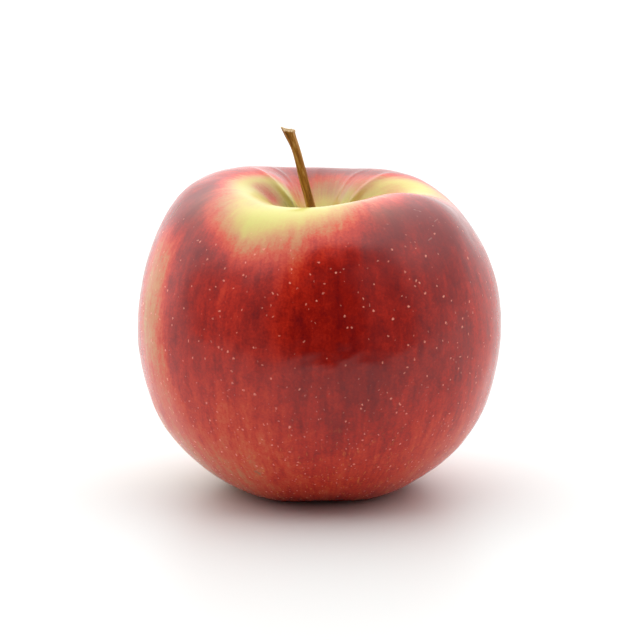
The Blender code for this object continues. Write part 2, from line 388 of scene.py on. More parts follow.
# Pale breathing spots: (spacing, radius, arcs over which they appear).
LENTICELS = [(1.85, 0.31, (34, 46)), (1.40, 0.24, (66, 92))]
LENTICEL_WANDER = 0.7  # how far apart noise may pull two points of a spot's edge
LENTICEL_CORE = 0.30  # share of the radius that is fully pale
LENTICEL_PALENESS = (0.25, 0.95)  # of the faintest and of the strongest
LENTICEL_WEAKER = 0.8  # share of the spots that are weaker than the strongest

# Scratches and hairline scars: (azimuth in degrees and arc of both ends, half width, strength).
SCARS = [
    ((203.5, 49), (205.0, 58), 0.13, 0.85),
    ((206.5, 53), (206.0, 60), 0.10, 0.55),
    ((193.0, 38), (194.5, 40.5), 0.20, 0.7),
    ((190.0, 40), (191.0, 42.5), 0.16, 0.6),
    ((245.0, 95), (246.0, 95.6), 0.42, 0.6),
]
SCUFFS = [
    ((314, 35), (317, 36), 0.12, 0.30),
    ((320, 39), (323, 38.5), 0.10, 0.25),
    ((312, 43), (314, 42.6), 0.12, 0.22),
    ((324, 43), (325, 45), 0.10, 0.22),
]
SCRATCH_WOBBLE = 2.4  # in half widths, as are its edges: where it is gone and where it is full
SCRATCH_EDGES = (1.6, 0.5)

WAX_ROUGHNESS = (0.17, 0.25)  # where it is smoothest and where it is dullest
DULLING = 0.3  # what russet, pale spots and scratches add
PORE_RELIEF = 0.12  # in shares of the bump's height, as are the next two
LENTICEL_RELIEF = 0.35
SCRATCH_RELIEF = -0.7
SKIN_BUMP = {"Distance": 0.00004, "Strength": 0.6}
WAX_IOR = 1.44

# Folds inside the cavity that stand out sharply: (azimuths in degrees, the arcs that they are at,
# half width in degrees, height).
RIDGES = [
    ((155, 157, 157.5, 153, 144), (13, 16, 18, 21, 25), 3.8, 0.32),
    ((30, 30, 31, 36), (14, 17, 20, 26), 3.4, 0.36),
    ((96, 93, 90), (15, 20, 26), 2.5, 0.16),
    ((119, 121, 124), (15, 20, 26), 2.5, 0.16),
    ((62, 60, 57), (15, 19, 24), 2.5, 0.14),
]
RIDGE_STARTS = (-2, 1)  # where a ridge rises, in arc from its first point
RIDGE_ENDS = (-3, 3)  # and where it fades, from its last
RIDGE_LEAN = 0.5  # how far it leans in over the cavity, for each millimetre that it rises
WRINKLES = ((276, 64.0), (15, 5.0), 3.1, 0.045)  # middle, half widths, spacing along the arc, depth
WRINKLE_BENDS = [(0.9, 23, 0), (0.5, 41, 1)]  # (reach along the arc, waves all round, phase)


def swelling(points):
    """The height of the flesh's gentle unevenness at rows of points."""
    draw = np.random.default_rng(SWELL_SEED)
    total = np.zeros(len(points))
    for waves, shortest, longest, height in SWELLS:
        for _ in range(waves):
            direction = draw.normal(size=3)
            direction /= np.linalg.norm(direction)
            wavelength = draw.uniform(shortest, longest)
            phase = draw.uniform(0, TURN)
            wave = np.sin(points @ direction * (TURN / wavelength) + phase)
            total += wave * height * math.sqrt(2 / waves)
    return total


def blob(azimuth, arc, middle, spread):
    """1 in the middle of a soft spot on the skin, given in degrees and millimetres of arc."""
    around_it = (azimuth - math.radians(middle[0]) + math.pi) % TURN - math.pi
    off = (around_it / math.radians(spread[0])) ** 2 + ((arc - middle[1]) / spread[1]) ** 2
    return np.exp(-off)


def ridges(azimuth, arc):
    """How far the sharp folds inside the cavity stand out."""
    total = 0.0
    for azimuths, arcs, width, height in RIDGES:
        crest = np.radians(np.interp(arc, arcs, azimuths))
        across = np.exp(-(((azimuth - crest) / math.radians(width)) ** 2))
        rising = ease(arc, *(arcs[0] + step for step in RIDGE_STARTS))
        fading = ease(arc, *(arcs[-1] + step for step in RIDGE_ENDS))
        total = total + height * across * rising * (1 - fading)
    return total


def wrinkles(azimuth, arc):
    """Shallow ripples across the front, where the skin has been rubbed."""
    middle, spread, spacing, depth = WRINKLES
    bend = sum(reach * np.sin(azimuth * waves + phase) for reach, waves, phase in WRINKLE_BENDS)
    wave = np.sin((arc + bend) * TURN / spacing)
    return depth * wave * blob(azimuth, arc, middle, spread)


def arc_lengths(radius, height):
    steps = np.hypot(np.diff(radius), np.diff(height))
    return np.concatenate([[0], np.cumsum(steps)])


def redness(azimuth, arc):
    """How red the skin is: 0 where the bare ground colour shows, 1 at the deepest crimson."""
    spill = around(GROUND_SPILL, azimuth)
    deepest = around(FLANK_RED, azimuth)
    base = around(BASE_RED, azimuth)
    red = deepest + (base - deepest) * ease(arc, *BASE_ARCS)
    red = red + SHOULDER_RED * (1 - ease(arc, *SHOULDER_ARCS))
    red = red * (CAVITY_RED + (1 - CAVITY_RED) * ease(arc, *CAVITY_ARCS))
    softness = around(SPILL_SOFTNESS, azimuth)
    red = red * ease(arc, spill + SPILL_EDGE[0] * softness, spill + SPILL_EDGE[1] * softness)
    for middle, spread, depth in BLOTCHES:
        red = red + depth * blob(azimuth, arc, middle, spread)
    red = red + (BASIN_RED - red) * ease(arc, *BASIN_ARCS)
    start, full, fading, end = STRIPE_ARCS
    middle = STRIPE_AZIMUTH + STRIPE_DRIFT * ease(arc, full, end)
    across = np.exp(-(((azimuth - middle) / STRIPE_WIDTH) ** 4))
    stripe = across * ease(arc, start, full) * (1 - ease(arc, fading, end))
    return red - STRIPE_PALING * stripe


def russet_and_shade(azimuth, arc):
    """How far greenish brown cork and painted shade cover the skin round the foot of the stem."""
    share = RUSSET_AND_SHADE_SHARE * (1 - ease(arc, *RUSSET_AND_SHADE_ARCS))
    for middle, spread, depth in STAINS_AND_SHADE:
        share = np.maximum(share, depth * blob(azimuth, arc, middle, spread))
    return share


def shade_and_bloom(azimuth, arc):
    """How far painted shade and dusty wax darken and dull the upper half of the skin, most of all
    in the cavity.
    """
    start, full, fading, end = SHADE_AND_BLOOM_ARCS
    shade_and_wax = around(CAVITY_SHADE_AND_BLOOM, azimuth) * ease(arc, start, full) * (1 - ease(arc, fading, end))
    for middle, spread, depth in SHADE_AND_BLOOM_SPOTS:
        shade_and_wax = shade_and_wax + depth * blob(azimuth, arc, middle, spread)
    return shade_and_wax


def fine_section():
    """Radius, height and arc of the half section, at close points."""
    spans = len(HALF_SECTION) - 1
    radius, height = turned_section(np.linspace(0, spans, spans * PLACES_PER_SPAN + 1))
    return radius, height, arc_lengths(radius, height)


def place_on_skin(azimuth_degrees, arc):
    """The point of the skin at an azimuth and an arc, in metres."""
    radius, height, run = fine_section()
    azimuth = np.radians(np.array([float(azimuth_degrees)]))
    turned = np.interp([arc], run, radius), np.interp([arc], run, height)
    new_radius, new_height = grown(*turned, azimuth)
    x, y = new_radius[0] * math.cos(azimuth[0]), new_radius[0] * math.sin(azimuth[0])
    return Vector((x, y, new_height[0])) * MM


def make_skin():
    radius, height, arc = fine_section()
    azimuth = np.arange(FRUIT_MERIDIANS) / FRUIT_MERIDIANS * TURN

    # Rings of points without the two poles, then the poles.
    inner = slice(1, -1)
    ring_radius = np.repeat(radius[inner], FRUIT_MERIDIANS)
    ring_height = np.repeat(height[inner], FRUIT_MERIDIANS)
    ring_arc = np.repeat(arc[inner], FRUIT_MERIDIANS)
    ring_azimuth = np.tile(azimuth, len(radius) - 2)
    all_radius = np.concatenate([ring_radius, [0, 0]])
    all_height = np.concatenate([ring_height, [height[0], height[-1]]])
    all_arc = np.concatenate([ring_arc, [arc[0], arc[-1]]])
    all_azimuth = np.concatenate([ring_azimuth, [0, 0]])

    new_radius, new_height = grown(all_radius, all_height, all_azimuth)
    cosine, sine = np.cos(all_azimuth), np.sin(all_azimuth)
    points = np.stack([new_radius * cosine, new_radius * sine, new_height], axis=1)

    # Swell outwards from the middle of the flesh, and hardly at all where the pieces meet.
    outward = points - (0, 0, GIRTH_HEIGHT / 2)
    outward /= np.linalg.norm(outward, axis=1, keepdims=True)
    free = ease(all_radius, *SWELL_RADII)
    points += outward * (swelling(points) * free)[:, None]
    points += outward * wrinkles(all_azimuth, all_arc)[:, None]
    folded = np.stack([-RIDGE_LEAN * cosine, -RIDGE_LEAN * sine, np.ones(len(sine))], axis=1)
    points += folded * ridges(all_azimuth, all_arc)[:, None]
    points[:, 2] = np.maximum(points[:, 2], 0)  # pressed flat where the lobes stand

    faces = tube_faces(len(radius) - 2, FRUIT_MERIDIANS)
    skin = mesh_object("apple_skin", points * MM, [face[::-1] for face in faces])
    set_attribute(skin, "growth", np.stack([cosine, sine, all_arc / ARC_UNIT], axis=1))
    set_attribute(skin, "redness", redness(all_azimuth, all_arc))
    set_attribute(skin, "russet_and_shade", russet_and_shade(all_azimuth, all_arc))
    set_attribute(skin, "shade_and_bloom", shade_and_bloom(all_azimuth, all_arc))
    skin.data.materials.append(skin_material())
    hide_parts("fruit")
    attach(skin, "root")


def skin_material():
    material, tree, surface = new_material("waxy_skin")
    growth = add(tree, "Attribute", out=1, attribute_name="growth")
    red = add(tree, "Attribute", out=2, attribute_name="redness")
    position = object_position(tree)

    # Patches and streaks along the meridians and a fine mottling, strongest where the red thins.
    thin = calc(tree, "MULTIPLY", calc(tree, "SUBTRACT", THIN_RED, red), red)
    thin = calc(tree, "MULTIPLY", thin, calc(tree, "MULTIPLY", thin, THIN_RED_GAIN))
    textures = []
    for stretch, where_thin, everywhere in STREAKS:
        streaks = noise(tree, stretched(tree, growth, stretch), *STREAK_NOISE)
        textures.append((streaks, where_thin, everywhere))
    for mottling, where_thin, everywhere in MOTTLING:
        textures.append((noise(tree, position, *mottling), where_thin, everywhere))
    wander = 0.0
    for texture, where_thin, everywhere in textures:
        strength = calc(tree, "MULTIPLY_ADD", thin, where_thin, everywhere)
        off_mean = calc(tree, "SUBTRACT", texture, 0.5)
        wander = calc(tree, "MULTIPLY_ADD", off_mean, strength, wander)
    colour = ramp(tree, calc(tree, "ADD", red, wander), RED_STOPS)

    arc = calc(tree, "MULTIPLY", add(tree, "SeparateXYZ", {0: growth}, out=2), ARC_UNIT)
    fleck_place = stretched(tree, growth, FLECK_STRETCH)
    flecks = fade(tree, noise(tree, fleck_place, *UNEVEN_NOISE), *FLECK_EDGES)
    flecks = calc(tree, "MULTIPLY", flecks, fade(tree, arc, *FLECK_ARCS, 0.0, FLECK_SHARE))
    colour = mixed(tree, flecks, colour, FLECK_COLOUR)

    # Painted shade in the cavity and on its rim, with a dusty wax bloom, in uneven patches.
    shade_and_wax = add(tree, "Attribute", out=2, attribute_name="shade_and_bloom")
    stretch, values, factors = UNEVEN_SHADE_AND_BLOOM
    uneven = noise(tree, stretched(tree, growth, stretch), *UNEVEN_NOISE)
    shade_and_wax = calc(tree, "MULTIPLY", shade_and_wax, fade(tree, uneven, *values, *factors))
    colour = mixed(tree, shade_and_wax, colour, SHADE_AND_BLOOM_COLOUR)
    # Russet round the stem's foot, darkened with painted shade where the cavity is deepest.
    cork_and_shade = add(tree, "Attribute", out=2, attribute_name="russet_and_shade")
    stretch, values, factors = UNEVEN_RUSSET_AND_SHADE
    uneven = noise(tree, stretched(tree, growth, stretch), *RUSSET_AND_SHADE_NOISE)
    cork_and_shade = calc(tree, "MULTIPLY", cork_and_shade, fade(tree, uneven, *values, *factors))
    colour = mixed(tree, cork_and_shade, colour, RUSSET_AND_SHADE_COLOUR)

    dots = lenticels(tree, position, arc)
    colour = mixed(tree, dots, colour, LENTICEL_COLOUR)
    scuffs = scratches(tree, position, SCUFFS)
    colour = mixed(tree, scuffs, colour, SCUFF_COLOUR)
    scars = scratches(tree, position, SCARS)
    colour = mixed(tree, scars, colour, SCAR_COLOUR)
    tree.links.new(colour, surface.inputs["Base Color"])

    scratched = calc(tree, "MAXIMUM", scars, scuffs)
    dull = calc(tree, "MAXIMUM", cork_and_shade, calc(tree, "MAXIMUM", dots, scratched))
    rough = fade(tree, noise(tree, position, *WAX_NOISE), *NOISE_BULK, *WAX_ROUGHNESS)
    rough = calc(tree, "MULTIPLY_ADD", dull, DULLING, rough)
    tree.links.new(rough, surface.inputs["Roughness"])
    relief = calc(tree, "MULTIPLY", noise(tree, position, *PORE_NOISE), PORE_RELIEF)
    relief = calc(tree, "MULTIPLY_ADD", dots, LENTICEL_RELIEF, relief)
    relief = calc(tree, "MULTIPLY_ADD", scratched, SCRATCH_RELIEF, relief)
    tree.links.new(add(tree, "Bump", {"Height": relief, **SKIN_BUMP}), surface.inputs["Normal"])
    surface.inputs["IOR"].default_value = WAX_IOR
    return material


def scratches(tree, position, marks):
    """The strongest, at each place, of thin wavering lines on the skin with soft edges."""
    wobble = calc(tree, "SUBTRACT", noise(tree, position, *SCRATCH_NOISE), 0.5)
    total = 0.0
    for first, second, half_width, strength in marks:
        start, end = place_on_skin(*first), place_on_skin(*second)
        away = add(tree, "VectorMath", {0: position, 1: start}, operation="SUBTRACT")
        line = end - start
        share = add(tree, "VectorMath", {0: away, 1: line}, out=1, operation="DOT_PRODUCT")
        share = calc(tree, "DIVIDE", share, line.length_squared)
        share = calc(tree, "MINIMUM", calc(tree, "MAXIMUM", share, 0.0), 1.0)
        reach = add(tree, "VectorMath", {0: line, 3: share}, operation="SCALE")
        off = add(tree, "VectorMath", {0: away, 1: reach}, out=1, operation="DISTANCE")
        off = calc(tree, "MULTIPLY_ADD", wobble, half_width * SCRATCH_WOBBLE * MM, off)
        here = fade(tree, off, *(half_width * edge * MM for edge in SCRATCH_EDGES))
        total = calc(tree, "MAXIMUM", total, calc(tree, "MULTIPLY", here, strength))
    return total


def lenticels(tree, position, arc):
    """Small pale breathing spots, closer together and smaller towards the base."""
    grain = {"Vector": position, "Scale": LENTICEL_GRAIN, "Detail": 1.0}
    shift = add(tree, "TexNoise", grain, out=1)
    shift = add(tree, "VectorMath", {0: shift, 1: (0.5, 0.5, 0.5)}, operation="SUBTRACT")
    shift = add(tree, "VectorMath", {0: shift, 3: LENTICEL_WANDER * MM}, operation="SCALE")
    position = add(tree, "VectorMath", {0: position, 1: shift}, operation="ADD")
    total = 0.0
    for spacing, radius, arcs in LENTICELS:
        here = calc(
            tree, "MULTIPLY", spots(tree, position, spacing, radius), fade(tree, arc, *arcs)
        )
        total = calc(tree, "MAXIMUM", total, here)
    return total


def spots(tree, position, spacing, radius):
    """Round soft-edged spots in a random scatter, some fainter than others."""
    cells = tree.nodes.new("ShaderNodeTexVoronoi")
    cells.inputs["Scale"].default_value = 1 / (spacing * MM)
    tree.links.new(position, cells.inputs["Vector"])
    edge = radius / spacing
    inside = fade(tree, cells.outputs["Distance"], edge, LENTICEL_CORE * edge)
    pick = add(tree, "SeparateColor", {0: cells.outputs["Color"]})
    paleness = fade(tree, pick, 0.0, LENTICEL_WEAKER, *LENTICEL_PALENESS)
    return calc(tree, "MULTIPLY", inside, paleness)


# ---------------------------------------------------------------------------------------------
# The stem
# ---------------------------------------------------------------------------------------------

STEM_SIDES = 48
STEM_RINGS = 110
STEM_LINE_POINTS = 400
STEM_FLUTES = [  # (ridges round the stem, share of its radius, twist along it in turns)
    (3, 0.050, 0.48),
    (5, 0.040, -0.32),
    (9, 0.022, 0.40),
    (16, 0.012, 0.16),
]
BREAK_SPAN = 1.6  # length of stem below the break that is drawn up to it
# Rings along that span: (share of it, how far the bark is torn to bare wood).
BREAK_STEPS = [(0.3, 0.0), (0.55, 0.0), (0.72, 0.1), (0.86, 0.6), (1.0, 1.0)]
TORN_SPREAD = (0.6, 1.0)
BREAK_SHARES = (0.97, 0.88, 0.74, 0.56, 0.36, 0.16)  # rings across the broken face
TIP_DROP = 0.55  # the ragged end lies this far below the clean break of the CAD
SPLINTER = 0.14  # how far its fibres stand up and down, at random and in three waves round it
SPLINTER_WAVES = (3, 1.0)
LONG_SPLINTER = (math.radians(5), 0.03, 0.16)  # its angle from the -X side, breadth and height
FRONT_CHIP = 0.32  # how much lower the break is in front
FIBRE_HEIGHT = 0.09
HEART_RISE = 0.10  # how far the broken face bulges in its middle
END_TIPS = (0.2, 0.05)  # how far the middles of the foot and of the broken face stand out
STEM_SEED = 5

STEM_LEAN = 0.3  # how far the stem moves towards -X as it rises, so that the grain follows it
GRAIN_STRETCH = (2200, 2200, 170)
BAND_STRETCH = (900, 900, 60)
GRAIN_NOISE = (1.0, 3.0, 0.6)
BAND_NOISE = (1.0, 2.0, 0.5)
BARK_FLECK_NOISE = (2600, 3.0, 0.65)
WOOD_NOISE = (3200, 3.0, 0.7)
GRAIN_TONE = 0.85  # how much the grain, the broad bands and the flecks each lighten the bark
BAND_TONE = 0.7
BARK_FLECK_TONE = 0.18
DARKEST_TONE = -0.20
BARK_STOPS = [
    (0.40, (0.075, 0.026, 0.004)),
    (0.52, (0.22, 0.075, 0.007)),
    (0.66, (0.38, 0.15, 0.018)),
    (0.84, (0.60, 0.34, 0.11)),
]
WOOD_STOPS = [
    (0.34, (0.20, 0.10, 0.035)),
    (0.50, (0.56, 0.36, 0.16)),
    (0.66, (0.82, 0.66, 0.40)),
]
FOOT_GREEN_AND_SHADE = (0.12, 0.075, 0.012)  # greener down in the cavity, and darker there as painted shade, between these heights
FOOT_HEIGHTS = (68, 55)
FOOT_SHARE = 0.35
BARK_FLECK_RELIEF = 0.4
STEM_BUMP = {"Distance": 0.00012, "Strength": 0.8}
STEM_ROUGHNESS = (0.5, 0.72)
STEM_SPECULAR = 0.3


def stem_line(places):
    """Middle points and radii of the stem, at places counted in stations."""
    line, radii = zip(*STEM_LINE)
    there_and_back = [*range(len(line)), *range(len(line) - 2, 0, -1)]
    tables = [*zip(*line), radii]
    x, y, z, radius = (
        along(knots_through([table[i] for i in there_and_back]), places) for table in tables
    )
    return np.stack([x, y, z], axis=1), radius


def make_stem():
    draw = np.random.default_rng(STEM_SEED)
    angle = np.arange(STEM_SIDES) / STEM_SIDES * TURN
    phases = draw.uniform(0, TURN, len(STEM_FLUTES))
    normal = np.array(STEM_BREAK_NORMAL) / np.linalg.norm(STEM_BREAK_NORMAL)
    end = np.array(STEM_END)

    places = np.linspace(0, len(STEM_LINE) - 1, STEM_LINE_POINTS)
    line, radii = stem_line(places)
    run = np.concatenate([[0], np.cumsum(np.linalg.norm(np.diff(line, axis=0), axis=1))])
    past = (line - end) @ normal
    last = run[np.searchsorted(past, 0)]
    stops = np.linspace(0, last - BREAK_SPAN, STEM_RINGS)
    centres = np.stack([np.interp(stops, run, line[:, axis]) for axis in range(3)], axis=1)
    widths = np.interp(stops, run, radii)
    heading = np.gradient(centres, axis=0)
    heading /= np.linalg.norm(heading, axis=1, keepdims=True)

    def ring_points(centre, width, direction, share_along):
        side = np.cross(direction, (0, 1, 0))
        side /= np.linalg.norm(side)
        front = np.cross(direction, side)
        bulge = 1 + sum(
            depth * np.cos(flutes * (angle + TURN * twist * share_along) + phase)
            for (flutes, depth, twist), phase in zip(STEM_FLUTES, phases)
        )
        reach = width * bulge
        return centre + reach[:, None] * (
            np.cos(angle)[:, None] * side + np.sin(angle)[:, None] * front
        )

    rings = [
        ring_points(centre, width, direction, stop / last)
        for centre, width, direction, stop in zip(centres, widths, heading, stops)
    ]
    fresh = [np.zeros(STEM_SIDES) for _ in rings]

    # Draw the bark up to the slanting, splintered break, flaring as it goes.
    top, direction = rings[-1], heading[-1]
    gap = -((top - end) @ normal) / (direction @ normal)
    waves, phase = SPLINTER_WAVES
    ragged = draw.uniform(-1, 1, STEM_SIDES) + np.cos(waves * angle + phase)
    at, breadth, height = LONG_SPLINTER
    splinters = SPLINTER * ragged - TIP_DROP
    splinters += height * np.exp((np.cos(angle - at) - 1) / breadth)
    splinters -= FRONT_CHIP * np.clip(np.sin(angle), 0, 1) ** 2
    flare = np.interp(last, run, radii) / widths[-1]
    for share, torn in BREAK_STEPS:
        lifted = top + direction * ((gap + splinters * share) * share)[:, None]
        axis = centres[-1] + direction * (gap.mean() * share)
        rings.append(axis + (lifted - axis) * (1 + (flare - 1) * share))
        fresh.append(torn * draw.uniform(*TORN_SPREAD, STEM_SIDES))

    rim = rings[-1]
    heart = rim.mean(axis=0)
    for share in BREAK_SHARES:
        fibres = draw.uniform(-1, 1, STEM_SIDES) * FIBRE_HEIGHT
        raised = HEART_RISE * (1 - share) + fibres
        rings.append(heart + (rim - heart) * share + normal * raised[:, None])
        fresh.append(np.ones(STEM_SIDES))
    foot, tip = centres[0] - heading[0] * END_TIPS[0], heart + normal * END_TIPS[1]
    points = np.concatenate([*rings, [foot], [tip]])
    is_fresh = np.concatenate([*fresh, [0.0], [1.0]])

    faces = tube_faces(len(rings), STEM_SIDES)
    stem = mesh_object("apple_stem", points * MM, [face[::-1] for face in faces])
    set_attribute(stem, "broken", is_fresh)
    stem.data.materials.append(stem_material())
    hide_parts("stem")
    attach(stem, "root")


def stem_material():
    material, tree, surface = new_material("stem_bark")
    position = object_position(tree)
    broken = add(tree, "Attribute", out=2, attribute_name="broken")
    height = add(tree, "SeparateXYZ", {0: position}, out=2)
    lean_back = add(tree, "CombineXYZ", {0: calc(tree, "MULTIPLY", height, STEM_LEAN)})
    grain_place = add(tree, "VectorMath", {0: position, 1: lean_back}, operation="ADD")
    grain = noise(tree, stretched(tree, grain_place, GRAIN_STRETCH), *GRAIN_NOISE)
    bands = noise(tree, stretched(tree, grain_place, BAND_STRETCH), *BAND_NOISE)
    flecks = noise(tree, position, *BARK_FLECK_NOISE)
    tone = calc(tree, "MULTIPLY_ADD", bands, BAND_TONE, DARKEST_TONE)
    tone = calc(tree, "MULTIPLY_ADD", grain, GRAIN_TONE, tone)
    tone = calc(tree, "MULTIPLY_ADD", flecks, BARK_FLECK_TONE, tone)
    # Greener and darker towards the foot in the cavity: the stem's own green, and painted shade.
    foot = fade(tree, height, *(level * MM for level in FOOT_HEIGHTS), 0.0, FOOT_SHARE)
    bark = mixed(tree, foot, ramp(tree, tone, BARK_STOPS), FOOT_GREEN_AND_SHADE)
    wood = ramp(tree, noise(tree, position, *WOOD_NOISE), WOOD_STOPS)
    tree.links.new(mixed(tree, broken, bark, wood), surface.inputs["Base Color"])
    relief = calc(tree, "MULTIPLY_ADD", flecks, BARK_FLECK_RELIEF, grain)
    tree.links.new(add(tree, "Bump", {"Height": relief, **STEM_BUMP}), surface.inputs["Normal"])
    rough = fade(tree, grain, *NOISE_BULK, *STEM_ROUGHNESS)
    tree.links.new(rough, surface.inputs["Roughness"])
    surface.inputs["Specular IOR Level"].default_value = STEM_SPECULAR
    return material


# ---------------------------------------------------------------------------------------------
# The calyx
# ---------------------------------------------------------------------------------------------

SEPAL_ROWS = 22
SEPAL_COLUMNS = 9
SEPAL_SKIN = 0.28
SEPAL_BEND = 1.1  # how late the lean comes on along the sepal
SEPAL_SPREAD = 6  # by how many degrees the tips lean more or less
SEPAL_TAPER = 0.62
SEPAL_TIP = 0.1  # half the width of the tip
SEPAL_CUP = 0.35  # how far the edges curve out of its plane, for each millimetre of half width
SEPAL_CRINKLE = (0.16, 9, 17)  # height at the edges, and how fast its two waves run
SEPAL_SMOOTH = 4  # the crinkle is full from one part in this many of the length on
SEPAL_EDGE = 1.02  # just above 1, so that the edges keep some thickness
CUP_RINGS = [  # (share of the tube's radius, height above its foot), outside to inside
    (1.00, 2.6), (1.01, 1.2), (1.00, 0.4), (0.93, 0.0), (0.80, 0.1), (0.66, 0.7), (0.60, 1.8),
    (0.40, 2.3),
]
CUP_SIDES = 60
CUP_LOBES = [(0.03, 5, -5 * LOBE_AZIMUTH), (0.02, 11, 1)]  # (share of the radius, waves, phase)
CUP_WANDER = 0.012
THREADS = [  # stamens, styles: (how many, distance from the axis, lean, lengths, radius)
    (17, TUBE_RADIUS * 0.52, -0.45, (1.9, 3.1), 0.075),
    (5, 0.25, 0.1, (2.6, 3.4), 0.11),
]
THREAD_HEAD = (0.12, 0.2, 0.1)  # radii at the last three points
THREAD_POINTS = 9
THREAD_SIDES = 8
THREAD_OFF_PLACE = 0.12  # in radians, either way
THREAD_OFF_REACH = 0.3  # in millimetres at the tip
THREAD_SWING = 0.5  # in radians at the tip
CALYX_SEED = 23

SEPAL_COLOUR = (0.30, 0.20, 0.10)
THREAD_COLOUR = (0.16, 0.09, 0.045)
FUZZ_NOISE = (2600, 4.0, 0.7)
PATCH_NOISE = (620, 2.0, 0.5)
FUZZ_TONE = 0.5
PATCH_TONE = 0.6
CALYX_TONES = [(0.40, 0.22), (0.54, 0.55), (0.70, 1.0)]  # (place on the ramp, share of the colour)
CALYX_BUMP = {"Distance": 0.00015, "Strength": 1.0}
CALYX_ROUGHNESS = 0.88


def thread(points, radii, sides):
    """Points and faces of a thin closed tube along a line."""
    points = np.asarray(points, float)
    heading = np.gradient(points, axis=0)
    angle = np.arange(sides) / sides * TURN
    rings = []
    for centre, direction, radius in zip(points, heading, radii):
        direction = direction / np.linalg.norm(direction)
        side = np.cross(direction, (0.31, 0.87, 0.38))  # a direction that no thread runs in
        side /= np.linalg.norm(side)
        front = np.cross(direction, side)
        offset = np.cos(angle)[:, None] * side + np.sin(angle)[:, None] * front
        rings.append(centre + radius * offset)
    faces = [face[::-1] for face in tube_faces(len(rings), sides)]
    return np.concatenate([*rings, [points[0]], [points[-1]]]), faces


def joined(parts):
    """One list of points and one of faces from several."""
    points, faces, count = [], [], 0
    for part_points, part_faces in parts:
        points.append(part_points)
        faces += [tuple(index + count for index in face) for face in part_faces]
        count += len(part_points)
    return np.concatenate(points), faces


def sepal(number, draw):
    """A dried sepal as a closed leaf: it narrows to a curled tip and its edges are crinkled."""
    share = np.linspace(0, 1, SEPAL_ROWS)
    lean = SEPAL_LEAN[0] + (SEPAL_LEAN[1] - SEPAL_LEAN[0]) * share**SEPAL_BEND
    lean = lean + math.radians(draw.uniform(-SEPAL_SPREAD, SEPAL_SPREAD)) * share
    step = SEPAL_LENGTH * SEPAL_SIZES[number] / (SEPAL_ROWS - 1)
    radius = SEPAL_ROOT[0] + np.concatenate([[0], np.cumsum(np.sin(lean[:-1]) * step)])
    height = SEPAL_ROOT[1] - np.concatenate([[0], np.cumsum(np.cos(lean[:-1]) * step)])
    half_width = SEPAL_WIDTH / 2 * (1 - share) ** SEPAL_TAPER + SEPAL_TIP
    crinkle, lengthwise, sideways = SEPAL_CRINKLE
    phases = draw.uniform(0, TURN, 2)
    across = np.linspace(-1, 1, SEPAL_COLUMNS)
    sheets = []
    for face_side in (1, -1):
        rows = []
        for row in range(SEPAL_ROWS):
            wave = np.sin(lengthwise * share[row] + phases[0])
            wave = wave + np.sin(sideways * share[row] * across + phases[1])
            wave = crinkle * across**2 * wave * min(1, SEPAL_SMOOTH * share[row])
            thickness = SEPAL_SKIN / 2 * np.sqrt(np.clip(SEPAL_EDGE - across**2, 0, 1))
            off = wave - SEPAL_CUP * half_width[row] * across**2 + thickness * face_side
            new_radius = radius[row] + off * math.cos(lean[row])
            new_height = height[row] + off * math.sin(lean[row])
            rows.append(np.stack([new_radius, half_width[row] * across, new_height], axis=1))
        sheets.append(np.concatenate(rows))
    count = SEPAL_ROWS * SEPAL_COLUMNS
    faces = []
    for row in range(SEPAL_ROWS - 1):
        for column in range(SEPAL_COLUMNS - 1):
            a = row * SEPAL_COLUMNS + column
            b, c, d = a + 1, a + SEPAL_COLUMNS + 1, a + SEPAL_COLUMNS
            faces.append((a, d, c, b))
            faces.append((count + a, count + b, count + c, count + d))
    last_row, last_column = (SEPAL_ROWS - 1) * SEPAL_COLUMNS, SEPAL_COLUMNS - 1
    rim = list(range(SEPAL_COLUMNS))
    rim += [row * SEPAL_COLUMNS + last_column for row in range(1, SEPAL_ROWS)]
    rim += [last_row + column for column in range(last_column - 1, -1, -1)]
    rim += [row * SEPAL_COLUMNS for row in range(SEPAL_ROWS - 2, 0, -1)]
    for here, there in zip(rim, rim[1:] + rim[:1]):
        faces.append((here, there, count + there, count + here))
    outward, sideward, upward = np.concatenate(sheets).T
    turn = LOBE_AZIMUTH + TURN * number / LOBES
    x = outward * math.cos(turn) - sideward * math.sin(turn)
    y = outward * math.sin(turn) + sideward * math.cos(turn)
    return np.stack([x, y, upward], axis=1), faces


def calyx_cup(draw):
    """The withered rim of the calyx tube, open downwards."""
    angle = np.arange(CUP_SIDES) / CUP_SIDES * TURN
    uneven = 1 + sum(depth * np.cos(waves * angle + phase) for depth, waves, phase in CUP_LOBES)
    rings = []
    for share, height in CUP_RINGS:
        wander = draw.uniform(-CUP_WANDER, CUP_WANDER, CUP_SIDES)
        reach = TUBE_RADIUS * share * uneven * (1 + wander)
        z = np.full(CUP_SIDES, TUBE_FOOT + height)
        rings.append(np.stack([reach * np.cos(angle), reach * np.sin(angle), z], axis=1))
    top = [0, 0, TUBE_FOOT + CUP_RINGS[0][1]]
    floor = [0, 0, TUBE_FOOT + CUP_RINGS[-1][1]]
    points = np.concatenate([*rings, [top], [floor]])
    return points, [face[::-1] for face in tube_faces(len(rings), CUP_SIDES)]


